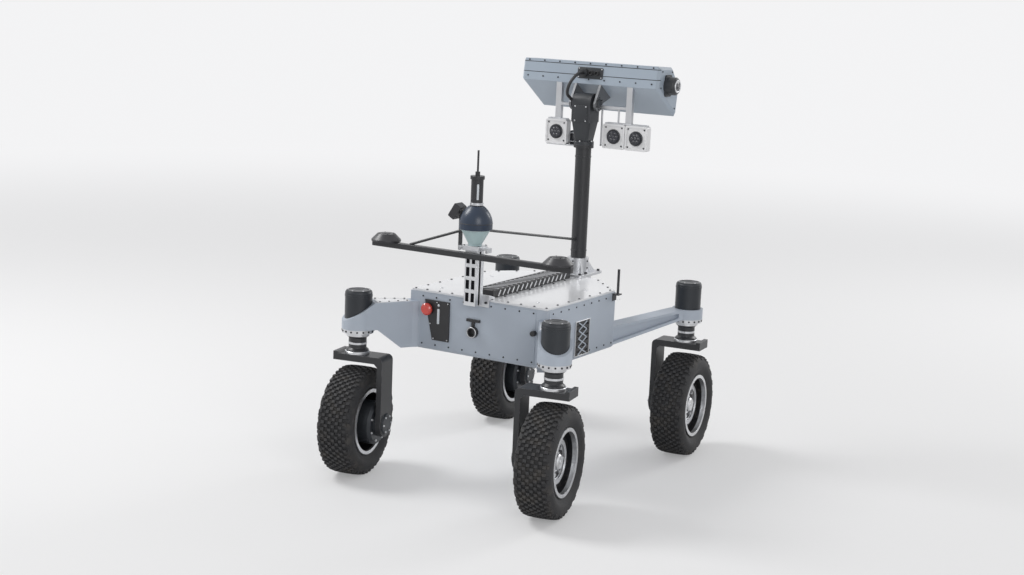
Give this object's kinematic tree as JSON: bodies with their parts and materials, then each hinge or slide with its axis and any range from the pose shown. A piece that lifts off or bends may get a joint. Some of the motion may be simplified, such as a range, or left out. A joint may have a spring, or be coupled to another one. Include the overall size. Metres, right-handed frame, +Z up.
{
  "type": "planetary rover prototype",
  "caption": "Wheeled rover with a tapered box chassis, steered wheels on single-sided forks, a mast with pan-tilt camera head and lamps, and a rear antenna post.",
  "frame": {"origin": "on the ground, midway between the four steering axes", "axes": "+Z up, +Y towards the rover's front where the mast stands, +X to its right"},
  "size_m": [0.8424, 1.18, 1.2463],
  "materials": {
    "tyre": "matt knobbed rubber",
    "rim_metal": "turned and dull",
    "fork_black": "satin black",
    "motor_black": "anodised black, satin",
    "body_paint": "satin light grey",
    "machined_metal": "machined",
    "deck_gloss": "glossy white",
    "duct_plastic": "matt black",
    "mast_black": "satin black",
    "head_black": "satin black",
    "bracket_grey": "brushed",
    "head_shell": "satin blue grey",
    "lens_glass": "dark, clear gloss",
    "lamp_case": "satin white",
    "cable_black": "satin black",
    "puck_black": "satin black",
    "cone_teal": "satin teal",
    "dome_dark": "satin dark blue",
    "panel_black": "satin black",
    "button_red": "glossy red"
  },
  "bodies": {
    "root": {"antenna_cone": "cone_teal", "antenna_dome": "dome_dark", "antenna_pucks": "puck_black", "arm_front_left": "body_paint", "arm_front_right": "body_paint", "arm_rear_left": "body_paint", "arm_rear_right": "body_paint", "braces": "mast_black", "chassis": "body_paint", "clamp_rings": "machined_metal", "control_panel": "panel_black", "corner_antenna": "puck_black", "crossbar": "mast_black", "deck_duct": "duct_plastic", "deck_panels": "deck_gloss", "mast": "mast_black", "mast_mount": "machined_metal", "post": "bracket_grey", "post_bracket": "bracket_grey", "post_saddle": "bracket_grey", "radio": "puck_black", "rear_fittings": "panel_black", "side_grilles": "panel_black", "side_receiver": "puck_black", "steering_motor_front_left": "motor_black", "steering_motor_front_right": "motor_black", "steering_motor_rear_left": "motor_black", "steering_motor_rear_right": "motor_black", "stop_button": "button_red"},
    "steer_rear_left": {"fork_rear_left": "fork_black", "drive_motor_rear_left": "motor_black"},
    "wheel_rear_left": {"tyre_rear_left": "tyre", "rim_rear_left": "rim_metal"},
    "steer_rear_right": {"fork_rear_right": "fork_black", "drive_motor_rear_right": "motor_black"},
    "wheel_rear_right": {"tyre_rear_right": "tyre", "rim_rear_right": "rim_metal"},
    "steer_front_left": {"fork_front_left": "fork_black", "drive_motor_front_left": "motor_black"},
    "wheel_front_left": {"tyre_front_left": "tyre", "rim_front_left": "rim_metal"},
    "steer_front_right": {"fork_front_right": "fork_black", "drive_motor_front_right": "motor_black"},
    "wheel_front_right": {"tyre_front_right": "tyre", "rim_front_right": "rim_metal"},
    "pan": {"pan_unit": "head_black"},
    "head": {"tilt_yoke": "bracket_grey", "head_housing": "head_shell", "head_lenses": "lens_glass", "end_camera": "head_black", "lamps": "lamp_case", "lamp_eyes": "lens_glass", "lamp_straps": "bracket_grey", "head_cable": "cable_black"}
  },
  "joints": [
    {"name": "steer_rear_left", "type": "hinge", "parent": "root", "child": "steer_rear_left", "pos_m": [-0.342, -0.422, 0.44], "axis": [0, 0, 1], "range_deg": [-100, 80]},
    {"name": "roll_rear_left", "type": "hinge", "parent": "steer_rear_left", "child": "wheel_rear_left", "pos_m": [-0.342, -0.422, 0.165], "axis": [0.9848, 0.1736, 0], "continuous": true},
    {"name": "steer_rear_right", "type": "hinge", "parent": "root", "child": "steer_rear_right", "pos_m": [0.342, -0.422, 0.44], "axis": [0, 0, 1], "range_deg": [-100, 80]},
    {"name": "roll_rear_right", "type": "hinge", "parent": "steer_rear_right", "child": "wheel_rear_right", "pos_m": [0.342, -0.422, 0.165], "axis": [0.9848, 0.1736, 0], "continuous": true},
    {"name": "steer_front_left", "type": "hinge", "parent": "root", "child": "steer_front_left", "pos_m": [-0.342, 0.422, 0.44], "axis": [0, 0, 1], "range_deg": [-96, 84]},
    {"name": "roll_front_left", "type": "hinge", "parent": "steer_front_left", "child": "wheel_front_left", "pos_m": [-0.342, 0.422, 0.165], "axis": [0.9945, 0.1045, 0], "continuous": true},
    {"name": "steer_front_right", "type": "hinge", "parent": "root", "child": "steer_front_right", "pos_m": [0.342, 0.422, 0.44], "axis": [0, 0, 1], "range_deg": [-96, 84]},
    {"name": "roll_front_right", "type": "hinge", "parent": "steer_front_right", "child": "wheel_front_right", "pos_m": [0.342, 0.422, 0.165], "axis": [0.9945, 0.1045, 0], "continuous": true},
    {"name": "head_pan", "type": "hinge", "parent": "root", "child": "pan", "pos_m": [0, 0.3, 0.985], "axis": [0, 0, 1], "range_deg": [-170, 170]},
    {"name": "head_tilt", "type": "hinge", "parent": "pan", "child": "head", "pos_m": [0, 0.3, 1.1183], "axis": [1, 0, 0], "range_deg": [-45, 30]}
  ]
}
